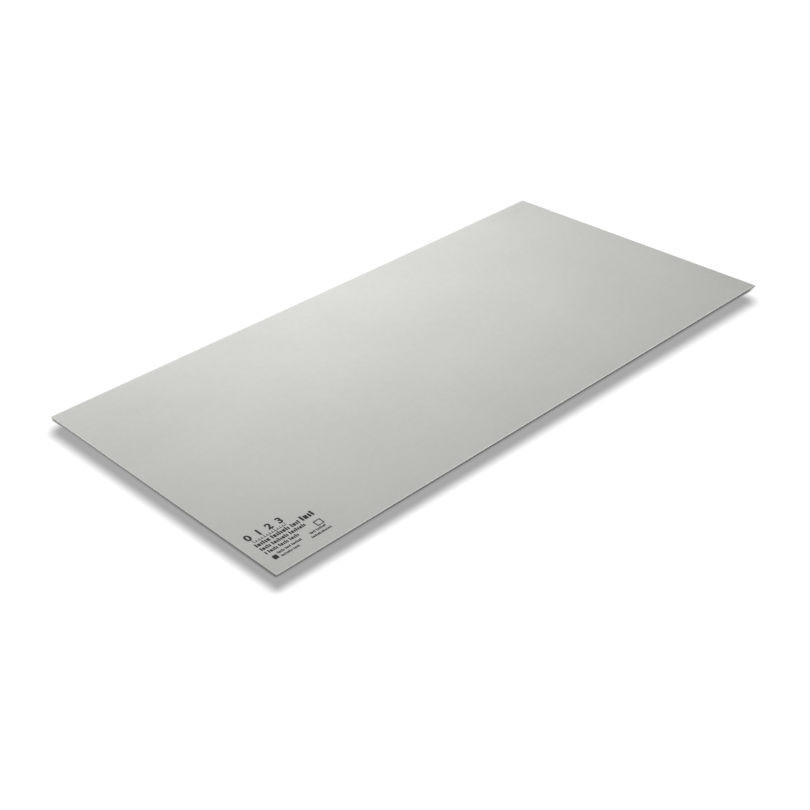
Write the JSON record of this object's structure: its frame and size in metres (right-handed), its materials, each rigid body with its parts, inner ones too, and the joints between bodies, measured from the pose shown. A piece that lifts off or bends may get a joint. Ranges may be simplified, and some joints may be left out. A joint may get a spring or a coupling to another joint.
{
  "type": "fiber cement board",
  "caption": "Flat rectangular fiber cement sheet with a smooth front face and square-cut edges, fastened to framing to line walls, ceilings or floors.",
  "frame": {"origin": "centre of the back face, at the height of the floor that the sheet lies on", "axes": "+X along the length, +Y along the width, +Z out of the smooth front face"},
  "size_m": [2.4, 1.2, 0.004],
  "materials": {
    "fibre_cement": "smooth matte cement face with a faint sheen, darker cut edges"
  },
  "bodies": {
    "root": {"board": "fibre_cement"}
  },
  "joints": []
}
